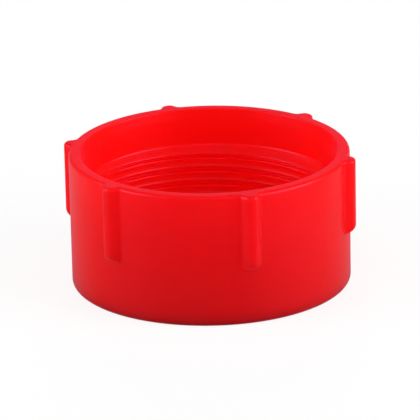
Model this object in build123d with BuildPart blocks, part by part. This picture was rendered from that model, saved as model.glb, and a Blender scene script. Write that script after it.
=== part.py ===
from build123d import *
import os
from math import ceil, radians, tan

# Threaded protection cap for a 1-7/16-12 UN male fitting, moulded in one piece.
# It stands on its closed end with the mouth up. The origin is the centre of the
# underside, and +Z runs along the thread axis towards the mouth. Millimetres.

# Thread: single start, right hand, 60 degree form with flat crests and roots
thread_major_diameter = 36.51
thread_pitch = 25.4 / 12
thread_angle = 60.0
thread_height_share = 5 / 8  # of the sharp triangle, from crest flat to root flat
thread_root_share = 1 / 8  # of the pitch
thread_start_rise = 1.8  # from the floor to the middle of the groove's first end
thread_start_angle = 80.0  # round the axis from +X

# Cup
cap_height = 19.65
wall_thickness = 1.845  # round the counterbore, at the rim
floor_thickness = 1.8
outer_draft_angle = 0.25
bottom_edge_radius = 0.75

# Bore, from the floor up: thread relief, thread, sloping shoulder, counterbore
bore_clearance = 0.15  # radial, round the male thread's crests
relief_height = 2.8
shoulder_height = 1.4
counterbore_depth = 5.45
flare_depth = 1.6
flare_step = 0.12
rim_inner_bevel = 0.15
rim_outer_bevel = 0.3

# Grip ribs, flush with the rim
rib_count = 6
rib_length = 11.25
rib_projection = 1.25
rib_base_width = 2.9
rib_tip_width = 1.3
rib_end_radius = 1.2  # rounds the lower end back to the wall
rib_edge_radius = 0.9

# Radii and heights that follow from the sizes above
flank_slope = tan(radians(thread_angle / 2))
thread_depth = thread_height_share * thread_pitch / 2 / flank_slope
major_radius = thread_major_diameter / 2
minor_radius = major_radius - thread_depth
bore_radius = major_radius + bore_clearance
mouth_radius = bore_radius + flare_step
outer_radius = bore_radius + wall_thickness
bottom_radius = outer_radius - cap_height * tan(radians(outer_draft_angle))
relief_top = floor_thickness + relief_height
shoulder_top = cap_height - counterbore_depth
shoulder_bottom = shoulder_top - shoulder_height

# One grip rib along +X: its plan view carried down from the rim, then cut to its
# side view. The heel is buried in the wall.
rib_bottom = cap_height - rib_length
rib_tip_radius = outer_radius + rib_projection
rib_heel_radius = (outer_radius + bore_radius) / 2
rib_burial = outer_radius - rib_heel_radius
rib_flank_slope = (rib_base_width - rib_tip_width) / 2 / rib_projection
rib_heel_width = rib_base_width + 2 * rib_flank_slope * rib_burial

with BuildPart() as rib:
    with BuildSketch(Plane.XY.offset(rib_bottom)) as plan_view:
        with BuildLine():
            Polyline(
                (rib_heel_radius, -rib_heel_width / 2),
                (rib_tip_radius, -rib_tip_width / 2),
                (rib_tip_radius, rib_tip_width / 2),
                (rib_heel_radius, rib_heel_width / 2),
                close=True,
            )
        make_face()
        fillet(plan_view.vertices().group_by(Axis.X)[-1], rib_edge_radius)
    extrude(amount=rib_length)
    with BuildSketch(Plane.XZ) as side_view:
        with BuildLine():
            Polyline(
                (rib_heel_radius, rib_bottom),
                (rib_tip_radius, rib_bottom),
                (rib_tip_radius, cap_height - rim_outer_bevel),
                (rib_tip_radius - rim_outer_bevel, cap_height),
                (rib_heel_radius, cap_height),
                close=True,
            )
        make_face()
        lower_corner = side_view.vertices().group_by(Axis.Y)[0].sort_by(Axis.X)[-1]
        fillet(lower_corner, rib_end_radius)
    extrude(amount=rib_heel_width, both=True, mode=Mode.INTERSECT)

# The thread's cutter: one turn of the groove, its section swept up a helix. The
# section's open side runs a little way inside the crests.
cutter_overrun = 0.2
cutter_inner_radius = minor_radius - cutter_overrun
root_half_width = thread_root_share * thread_pitch / 2
mouth_half_width = root_half_width + (thread_depth + cutter_overrun) * flank_slope
groove_start = floor_thickness + thread_start_rise
groove_turns = ceil((shoulder_top - groove_start) / thread_pitch)

with BuildPart() as groove:
    with BuildLine():
        path = Helix(
            pitch=thread_pitch,
            height=thread_pitch,
            radius=major_radius,
            center=(0, 0, groove_start),
        )
    with BuildSketch(Plane.XZ):
        with BuildLine():
            Polyline(
                (cutter_inner_radius, groove_start - mouth_half_width),
                (major_radius, groove_start - root_half_width),
                (major_radius, groove_start + root_half_width),
                (cutter_inner_radius, groove_start + mouth_half_width),
                close=True,
            )
        make_face()
    sweep(path=path, is_frenet=True)

# The cap: a drafted cup with its ribs, then its bore, then its thread
with BuildPart() as cap:
    with BuildSketch(Plane.XZ) as cup_section:
        with BuildLine():
            Polyline(
                (0, 0),
                (bottom_radius, 0),
                (outer_radius, cap_height - rim_outer_bevel),
                (outer_radius - rim_outer_bevel, cap_height),
                (0, cap_height),
                close=True,
            )
        make_face()
        bottom_corner = cup_section.vertices().group_by(Axis.Y)[0].sort_by(Axis.X)[-1]
        fillet(bottom_corner, bottom_edge_radius)
    revolve(axis=Axis.Z)
    with PolarLocations(0, rib_count):
        add(rib.part)

    with BuildSketch(Plane.XZ):
        with BuildLine():
            Polyline(
                (0, floor_thickness),
                (bore_radius, floor_thickness),
                (bore_radius, relief_top),
                (minor_radius, relief_top),
                (minor_radius, shoulder_bottom),
                (bore_radius, shoulder_top),
                (bore_radius, cap_height - flare_depth),
                (mouth_radius, cap_height - rim_inner_bevel),
                (mouth_radius + rim_inner_bevel, cap_height),
                (0, cap_height),
                close=True,
            )
        make_face()
    revolve(axis=Axis.Z, mode=Mode.SUBTRACT)
    for turn in range(groove_turns):
        with Locations((0, 0, turn * thread_pitch)):
            add(groove.part, rotation=(0, 0, thread_start_angle), mode=Mode.SUBTRACT)

cap.part.label = "cap"
cap.part.color = Color(0.82, 0.06, 0.07)

os.makedirs("parts", exist_ok=True)
export_step(cap.part, "parts/cap.step")
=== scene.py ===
import bpy
from math import acos, asin, atan2, ceil, cos, hypot, pi, radians, sin, sqrt, tan, tau
from mathutils import Matrix, Vector


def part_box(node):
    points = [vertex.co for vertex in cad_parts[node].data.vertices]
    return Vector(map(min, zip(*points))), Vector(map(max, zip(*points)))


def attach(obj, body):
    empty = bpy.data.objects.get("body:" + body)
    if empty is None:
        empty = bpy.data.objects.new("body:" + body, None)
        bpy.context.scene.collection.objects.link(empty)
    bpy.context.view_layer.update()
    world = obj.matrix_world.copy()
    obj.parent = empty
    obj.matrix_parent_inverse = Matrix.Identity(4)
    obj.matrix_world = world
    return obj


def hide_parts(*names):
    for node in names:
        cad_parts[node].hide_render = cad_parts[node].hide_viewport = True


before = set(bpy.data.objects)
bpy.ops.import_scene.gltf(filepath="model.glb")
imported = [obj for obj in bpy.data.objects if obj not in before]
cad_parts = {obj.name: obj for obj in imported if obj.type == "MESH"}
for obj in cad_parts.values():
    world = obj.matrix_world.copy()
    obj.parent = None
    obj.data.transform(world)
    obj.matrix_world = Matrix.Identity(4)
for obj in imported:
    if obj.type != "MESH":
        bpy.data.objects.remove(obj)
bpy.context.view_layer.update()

# ---------------------------------------------------------------------------
# The cap: one injection moulding of low-density polyethylene, pulled off its
# cavity along the axis and unscrewed from its threaded core. It is closed at
# the bottom, and six upright ribs round the mouth give the fingers a grip.
# ---------------------------------------------------------------------------
MM = 0.001
cap_low, cap_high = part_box("cap")
cap_height = cap_high[2] - cap_low[2]

# Wall and closed end
wall_radius = 20.25 * MM
foot_radius = 20.164 * MM
foot_edge_radius = 0.75 * MM
rim_edge_radius = 0.5 * MM
floor_thickness = 1.8 * MM
floor_corner_radius = 0.4 * MM

# Grip ribs
rib_count = 6
rib_length = 11.25 * MM
rib_projection = 1.25 * MM
rib_base_width = 2.9 * MM
rib_tip_width = 1.3 * MM
rib_corner_radius = 0.9 * MM
rib_end_radius = 1.2 * MM
rib_root_fillet = 0.5 * MM

# Mouth, counterbore and the sloping shoulder under it
mouth_radius = 18.525 * MM
mouth_edge_radius = 0.2 * MM
flare_depth = 1.6 * MM
bore_radius = 18.405 * MM
counterbore_depth = 5.45 * MM
shoulder_height = 1.4 * MM
shoulder_blend = 0.15 * MM

# Thread, 1-7/16-12 UN, and the plain relief under it
major_radius = 18.255 * MM
minor_radius = 17.109 * MM
thread_pitch = 25.4 / 12 * MM
thread_start = 3.6 * MM
thread_start_angle = radians(80)
flank_slope = tan(radians(30))
root_half_width = thread_pitch / 16
crest_rounding = 0.7 * MM
root_rounding = 0.3 * MM
flank_rounding = 0.5 * MM
run_out_height = 0.8 * MM
run_out_depth = 0.8 * MM
relief_top = 4.6 * MM
relief_step = 0.05 * MM

# Fineness of the mesh: the number of steps round each gap, corner and edge, and up each stretch
gap_steps = 36
rib_corner_steps = 6
root_fillet_steps = 4
edge_steps = 8
lower_wall_steps = 9
end_fillet_steps = 6
rib_end_steps = 14
upper_wall_steps = 12
flare_steps = 6
counterbore_steps = 14
thread_step = 0.1 * MM


def steps(start, end, count):
    """This many even steps from start to end, the start itself left out."""
    return [start + (end - start) * k / count for k in range(1, count + 1)]


def smooth_min(a, b, width):
    """The lesser of two lengths, with the corner between them rounded over this width."""
    blend = max(width - abs(a - b), 0.0) / width
    return min(a, b) - blend * blend * width / 4


def smooth_max(a, b, width):
    """The greater of two lengths, with the corner between them rounded over this width."""
    return -smooth_min(-a, -b, width)


# A rib's cross-section: flat tip, round corners, drafted flanks and a fillet at the wall
half_taper = (rib_base_width - rib_tip_width) / 2
corner_turn = atan2(rib_projection, half_taper)
tip_flat = rib_tip_width / 2 - rib_corner_radius * tan(corner_turn / 2)
flank_start = tip_flat + rib_corner_radius * sin(corner_turn)
rib_foot = rib_base_width / 2 + rib_root_fillet * tan(corner_turn / 2)
flank_end = rib_foot - rib_root_fillet * sin(corner_turn)


def rib_height(offset):
    """How far a rib stands off the wall at this distance from its middle."""
    across = abs(offset)
    if across <= tip_flat:
        return rib_projection
    if across <= flank_start:
        drop = rib_corner_radius - sqrt(rib_corner_radius ** 2 - (across - tip_flat) ** 2)
        return rib_projection - drop
    if across <= flank_end:
        return rib_projection * (rib_base_width / 2 - across) / half_taper
    if across < rib_foot:
        return rib_root_fillet - sqrt(rib_root_fillet ** 2 - (rib_foot - across) ** 2)
    return 0.0


# A rib's lower end from the side: a fillet at the wall, then a quarter round up to full height
end_reach = sqrt(rib_end_radius ** 2 + 2 * rib_end_radius * rib_root_fillet)
end_top = cap_height - rib_length + rib_end_radius
fillet_turn = asin(end_reach / (rib_end_radius + rib_root_fillet))
fillet_bottom = end_top - end_reach
fillet_top = fillet_bottom + rib_root_fillet * sin(fillet_turn)


def rib_end_height(z):
    """How far the middle of a rib stands off the wall at this height."""
    if z <= fillet_bottom:
        return 0.0
    if z <= fillet_top:
        return rib_root_fillet - sqrt(max(rib_root_fillet ** 2 - (z - fillet_bottom) ** 2, 0.0))
    drop = min(max((end_top - z) / rib_end_radius, 0.0), 1.0)
    return rib_projection * sqrt(1.0 - drop * drop)


# Stations round the cap, close together over each rib: the angle, and how far it is from the
# middle of a rib, or None between ribs
half_rib = [0.0, tip_flat / 2, tip_flat]
for turn in steps(0.0, corner_turn, rib_corner_steps):
    half_rib.append(tip_flat + rib_corner_radius * sin(turn))
half_rib += [(flank_start + flank_end) / 2, flank_end]
for turn in steps(corner_turn, 0.0, root_fillet_steps):
    half_rib.append(rib_foot - rib_root_fillet * sin(turn))
rib_offsets = [-offset for offset in half_rib[:0:-1]] + half_rib
rib_spacing = tau / rib_count
foot_angle = rib_foot / wall_radius
gap_angle = rib_spacing - 2 * foot_angle
stations = []
for rib in range(rib_count):
    middle = rib * rib_spacing
    stations += [(middle + offset / wall_radius, offset) for offset in rib_offsets]
    gap_start = middle + foot_angle
    gap = steps(gap_start, gap_start + gap_angle, gap_steps)
    stations += [(angle, None) for angle in gap[:-1]]


def wall_ring(z):
    """The outside of the cap at one height: the drafted wall, and what the ribs add to it."""
    wall = foot_radius + (wall_radius - foot_radius) * z / cap_height
    share = rib_end_height(z) / rib_projection
    ring = []
    for angle, offset in stations:
        radius = wall if offset is None else wall + rib_height(offset) * share
        ring.append((radius * cos(angle), radius * sin(angle), z))
    return ring


def round_ring(radius, z):
    """A plain circle of points at one height."""
    return [(radius * cos(angle), radius * sin(angle), z) for angle, _ in stations]


def inset(ring, distance, z):
    """The ring moved inwards, square to its own outline, and set at this height."""
    moved = []
    for k, (x, y, _) in enumerate(ring):
        before, after = ring[k - 1], ring[(k + 1) % len(ring)]
        along_x, along_y = after[0] - before[0], after[1] - before[1]
        size = hypot(along_x, along_y)
        moved.append((x - along_y / size * distance, y + along_x / size * distance, z))
    return moved


shoulder_top = cap_height - counterbore_depth
shoulder_bottom = shoulder_top - shoulder_height


def bore_profile(z):
    """The bore's radius from the relief to the counterbore, before the thread is cut."""
    share = (z - shoulder_bottom) / shoulder_height
    cone = minor_radius + (bore_radius - minor_radius) * share
    return smooth_max(minor_radius, smooth_min(cone, bore_radius, shoulder_blend), shoulder_blend)


def groove_radius(angle, z):
    """The radius of the helical groove's surface, which fades out towards the shoulder's top."""
    turns = (z - thread_start) / thread_pitch - (angle - thread_start_angle) / tau
    off = (turns - round(turns)) * thread_pitch
    # The two flanks run into each other in a round at the middle of the root and of the crest
    off = smooth_max(off, -off, flank_rounding)
    off = smooth_min(off, thread_pitch - off, flank_rounding)
    flank = major_radius - (off - root_half_width) / flank_slope
    run_out = max((z - shoulder_top) / run_out_height + 1.0, 0.0)
    return smooth_min(major_radius, flank, root_rounding) - run_out_depth * run_out


def threaded_ring(z):
    """The bore at one height, with the groove cut into it and the thread's crests rounded."""
    ring = []
    for angle, _ in stations:
        radius = smooth_max(bore_profile(z), groove_radius(angle, z), crest_rounding)
        ring.append((radius * cos(angle), radius * sin(angle), z))
    return ring


# Underside, flat out to its round edge
quarter = steps(0.0, pi / 2, edge_steps)
foot_flat = foot_radius - foot_edge_radius
underside_shares = (0.25, 0.5, 0.75, 0.9, 0.96)
rings = [round_ring(foot_flat * share, 0.0) for share in underside_shares]
for turn in [0.0] + quarter:
    radius = foot_flat + foot_edge_radius * sin(turn)
    rings.append(round_ring(radius, foot_edge_radius * (1 - cos(turn))))

# Outside of the wall: plain, the ribs' rounded ends, and up to the rim
end_turn = acos((end_top - fillet_top) / rib_end_radius)
rim_start = cap_height - rim_edge_radius
levels = steps(foot_edge_radius, fillet_bottom, lower_wall_steps)
for turn in steps(0.0, fillet_turn, end_fillet_steps):
    levels.append(fillet_bottom + rib_root_fillet * sin(turn))
for turn in steps(end_turn, pi / 2, rib_end_steps):
    levels.append(end_top - rib_end_radius * cos(turn))
levels += steps(end_top, rim_start, upper_wall_steps)
rings += [wall_ring(z) for z in levels]

# Rim: rounded outside, round the ribs' tops too, then flat, then rounded into the mouth
outline = rings[-1]
for turn in quarter:
    rounding = rim_edge_radius * (1 - cos(turn))
    rings.append(inset(outline, rounding, rim_start + rim_edge_radius * sin(turn)))
flat_edge = rings[-1]
inner_edge = round_ring(mouth_radius + mouth_edge_radius, cap_height)
rim_shares = (0.3, 0.55, 0.75, 0.9)
for share in rim_shares:
    pairs = zip(flat_edge, inner_edge)
    rings.append([tuple(a + (b - a) * share for a, b in zip(p, q)) for p, q in pairs])
for turn in [0.0] + quarter:
    radius = mouth_radius + mouth_edge_radius * (1 - sin(turn))
    rings.append(round_ring(radius, cap_height - mouth_edge_radius * (1 - cos(turn))))

# Inside: the flared lead-in, the counterbore, the shoulder and thread, and the relief
flare_top = cap_height - mouth_edge_radius
flare_bottom = cap_height - flare_depth
flare_radii = steps(mouth_radius, bore_radius, flare_steps)
flare_levels = steps(flare_top, flare_bottom, flare_steps)
rings += [round_ring(radius, z) for radius, z in zip(flare_radii, flare_levels)]
thread_top = shoulder_top + shoulder_blend
rings += [round_ring(bore_radius, z) for z in steps(flare_bottom, thread_top, counterbore_steps)]
thread_steps = ceil((thread_top - relief_top) / thread_step)
rings += [threaded_ring(z) for z in steps(thread_top, relief_top, thread_steps)]
rings.append(round_ring(bore_radius, relief_top - relief_step))

# The inside floor, with a small round corner where it meets the wall
corner_top = floor_thickness + floor_corner_radius
relief_shares = (0.6, 0.2)
for share in relief_shares:
    rings.append(round_ring(bore_radius, corner_top + (relief_top - corner_top) * share))
for turn in [0.0] + quarter:
    radius = bore_radius - floor_corner_radius * (1 - cos(turn))
    rings.append(round_ring(radius, corner_top - floor_corner_radius * sin(turn)))
floor_flat = bore_radius - floor_corner_radius
floor_shares = (0.96, 0.9, 0.7, 0.4, 0.15)
rings += [round_ring(floor_flat * share, floor_thickness) for share in floor_shares]

# One closed mesh: a strip of quads between each two rings, and a fan at each end
around = len(stations)
vertices = [point for ring in rings for point in ring]
vertices += [(0.0, 0.0, 0.0), (0.0, 0.0, floor_thickness)]
underside_centre, floor_centre = len(vertices) - 2, len(vertices) - 1
last_ring = (len(rings) - 1) * around
faces = []
for start in range(0, last_ring, around):
    for i in range(around):
        j = (i + 1) % around
        faces.append((start + i, start + j, start + around + j, start + around + i))
for i in range(around):
    j = (i + 1) % around
    faces.append((underside_centre, j, i))
    faces.append((floor_centre, last_ring + i, last_ring + j))
cap_mesh = bpy.data.meshes.new("cap_moulding")
cap_mesh.from_pydata(vertices, [], faces)
cap_mesh.polygons.foreach_set("use_smooth", [True] * len(cap_mesh.polygons))
cap_mesh.update()
cap = bpy.data.objects.new("cap_moulding", cap_mesh)
bpy.context.scene.collection.objects.link(cap)


def linear(hex_colour):
    """An sRGB hex colour as the linear RGBA that the shaders take."""
    values = [int(hex_colour[k:k + 2], 16) / 255 for k in (1, 3, 5)]
    return [v / 12.92 if v <= 0.04045 else ((v + 0.055) / 1.055) ** 2.4 for v in values] + [1.0]


def add_node(tree, kind, settings=None, links=None):
    """A node of this kind, with its settings by attribute or socket name and its inputs linked."""
    node = tree.nodes.new(kind)
    for name, value in (settings or {}).items():
        if hasattr(node, str(name)):
            setattr(node, name, value)
        else:
            node.inputs[name].default_value = value
    for name, source in (links or {}).items():
        tree.links.new(source, node.inputs[name])
    return node


# Low-density polyethylene, coloured red through and through and moulded against a satin cavity.
# It is slightly translucent: light goes through the wall and the inside glows, and the rim and
# the edges catch a soft, broad sheen. The pigment is a little uneven, in clouds of about 5 mm,
# and the cavity's fine grain of under half a millimetre breaks up the highlights.
cloud_size = 5.5 * MM
grain_size = 0.45 * MM
grain_depth = 0.2 * MM
light_reach = 12 * MM
ldpe = bpy.data.materials.new("moulded_red_ldpe")
ldpe.use_nodes = True
tree = ldpe.node_tree
tree.nodes.clear()
place = add_node(tree, "ShaderNodeTexCoord")
clouds = add_node(
    tree,
    "ShaderNodeTexNoise",
    {"Scale": 1 / cloud_size, "Detail": 3.0},
    {"Vector": place.outputs["Object"]},
)
pigment = add_node(tree, "ShaderNodeValToRGB", None, {"Fac": clouds.outputs["Fac"]})
darker, lighter = pigment.color_ramp.elements
darker.position, darker.color = 0.3, linear("#f80c09")
lighter.position, lighter.color = 0.7, linear("#fc100d")
grain = add_node(
    tree,
    "ShaderNodeTexNoise",
    {"Scale": 1 / grain_size, "Detail": 2.0},
    {"Vector": place.outputs["Object"]},
)
bump = add_node(
    tree,
    "ShaderNodeBump",
    {"Strength": 0.08, "Distance": grain_depth},
    {"Height": grain.outputs["Fac"]},
)
plastic = add_node(
    tree,
    "ShaderNodeBsdfPrincipled",
    {
        "Roughness": 0.34,
        "IOR": 1.51,
        "Specular IOR Level": 0.22,
        "Specular Tint": linear("#ffbcff"),
        "Sheen Weight": 0.12,
        "Sheen Roughness": 0.3,
        "Sheen Tint": linear("#bc95ff"),
        "Subsurface Weight": 1.0,
        "Subsurface Scale": light_reach,
        "Subsurface Radius": (1.0, 0.12, 0.1),
    },
    {"Base Color": pigment.outputs["Color"], "Normal": bump.outputs["Normal"]},
)
add_node(tree, "ShaderNodeOutputMaterial", None, {"Surface": plastic.outputs["BSDF"]})
cap_mesh.materials.append(ldpe)

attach(cap, "root")
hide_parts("cap")

# ---------------------------------------------------------------------------
# The floor: a sheet of matt white paper that the cap stands on. It is wide
# enough to fill the view, and lies a hair under the cap's flat foot so that
# the two faces don't share one plane.
# ---------------------------------------------------------------------------
floor_reach = 1500 * MM
floor_drop = 0.02 * MM
corners = [
    (-floor_reach, -floor_reach, -floor_drop),
    (floor_reach, -floor_reach, -floor_drop),
    (floor_reach, floor_reach, -floor_drop),
    (-floor_reach, floor_reach, -floor_drop),
]
floor_mesh = bpy.data.meshes.new("studio_floor")
floor_mesh.from_pydata(corners, [], [(0, 1, 2, 3)])
floor = bpy.data.objects.new("studio_floor", floor_mesh)
bpy.context.scene.collection.objects.link(floor)

# White paper: the eye sees plain white that keeps a part of the cap's shadow, and the cap's side
# mirrors a part of that white. The light that it sends back is that of a mid grey, so the cap
# isn't lit too much from below.
plain_share = 0.85
mirrored_share = 0.25
white = linear("#ffffff")
paper = bpy.data.materials.new("matt_white_paper")
paper.use_nodes = True
tree = paper.node_tree
tree.nodes.clear()
path = add_node(tree, "ShaderNodeLightPath")
sent_back = add_node(tree, "ShaderNodeBsdfDiffuse", {"Color": linear("#808080")})
shaded = add_node(tree, "ShaderNodeBsdfDiffuse", {"Color": white})
plain = add_node(tree, "ShaderNodeEmission", {"Color": white, "Strength": 1.0})
seen = add_node(
    tree,
    "ShaderNodeMixShader",
    {"Fac": plain_share},
    {1: shaded.outputs[0], 2: plain.outputs[0]},
)
share = add_node(
    tree,
    "ShaderNodeMath",
    {"operation": "MULTIPLY_ADD", 1: mirrored_share},
    {0: path.outputs["Is Glossy Ray"], 2: path.outputs["Is Camera Ray"]},
)
mix = add_node(
    tree,
    "ShaderNodeMixShader",
    None,
    {"Fac": share.outputs[0], 1: sent_back.outputs[0], 2: seen.outputs[0]},
)
add_node(tree, "ShaderNodeOutputMaterial", None, {"Surface": mix.outputs[0]})
floor_mesh.materials.append(paper)

# ---------------------------------------------------------------------------
# The light: a dim white room that the camera sees as plain white, and five
# square soft boxes. They stand at the sides, in front, overhead and low down
# behind the cap, where the light comes through the wall and the inside glows.
# ---------------------------------------------------------------------------
room = bpy.data.worlds.new("white_room")
bpy.context.scene.world = room
room.use_nodes = True
tree = room.node_tree
tree.nodes.clear()
path = add_node(tree, "ShaderNodeLightPath")
dim = add_node(tree, "ShaderNodeBackground", {"Color": white, "Strength": 0.15})
bright = add_node(tree, "ShaderNodeBackground", {"Color": white, "Strength": 1.0})
mix = add_node(
    tree,
    "ShaderNodeMixShader",
    None,
    {"Fac": path.outputs["Is Camera Ray"], 1: dim.outputs[0], 2: bright.outputs[0]},
)
add_node(tree, "ShaderNodeOutputWorld", None, {"Surface": mix.outputs[0]})

# The directions as the camera has them: to its right, and away from it along the floor
azimuth = radians(13.6)
right = Vector((cos(azimuth), sin(azimuth), 0))
away = Vector((-sin(azimuth), cos(azimuth), 0))
cap_middle = Vector((0, 0, cap_height / 2))


def soft_box(name, place, size, power, mirrored=True):
    """A square lamp that faces the cap. Its place is given to the right, away and up.

    The place and the size are in metres, and the power is in watts.
    """
    lamp = bpy.data.lights.new(name, "AREA")
    lamp.shape = "SQUARE"
    lamp.size = size
    lamp.energy = power
    where = right * place[0] + away * place[1] + Vector((0, 0, place[2]))
    turned = (where - cap_middle).to_track_quat("Z", "Y").to_matrix().to_4x4()
    box = bpy.data.objects.new(name, lamp)
    box.matrix_world = Matrix.Translation(where) @ turned
    box.visible_glossy = mirrored
    bpy.context.scene.collection.objects.link(box)


soft_box("soft_left", (-0.43, -0.12, 0.12), 0.35, 1.95)
soft_box("soft_right", (0.43, -0.16, 0.14), 0.35, 2.5)
soft_box("soft_front", (0, -0.62, 0.48), 0.4, 0.65)
# The other two aren't mirrored: they would whiten the shoulder and the flat of the rim
soft_box("soft_top", (0, -0.2, 0.8), 1.0, 1.9, mirrored=False)
soft_box("soft_back", (0, 0.5, 0.06), 0.3, 2.5, mirrored=False)

# ---------------------------------------------------------------------------
# The camera: a long lens a little under a metre off, looking down on the cap
# at about 20 degrees, so that its mouth shows as a flat oval. It is rolled by
# a degree, and aimed a touch above the cap's middle.
# ---------------------------------------------------------------------------
elevation = radians(19.7)
roll = radians(1.2)
view_distance = 911.25 * MM
view_limit = 10.0
lens_length = 540.93
sensor_width = 36.0
aim_up = 0.601 * MM
aim_left = 0.048 * MM
back = -away * cos(elevation) + Vector((0, 0, sin(elevation)))
upward = back.cross(right)
camera_right = right * cos(roll) - upward * sin(roll)
camera_up = right * sin(roll) + upward * cos(roll)
aim = cap_middle + camera_up * aim_up - camera_right * aim_left
camera_data = bpy.data.cameras.new("camera")
camera_data.lens = lens_length
camera_data.sensor_width = sensor_width
camera_data.clip_end = view_limit
camera = bpy.data.objects.new("camera", camera_data)
turned = Matrix((camera_right, camera_up, back)).transposed().to_4x4()
camera.matrix_world = Matrix.Translation(aim + back * view_distance) @ turned
bpy.context.scene.collection.objects.link(camera)
bpy.context.scene.camera = camera
bpy.context.scene.view_settings.view_transform = "Standard"
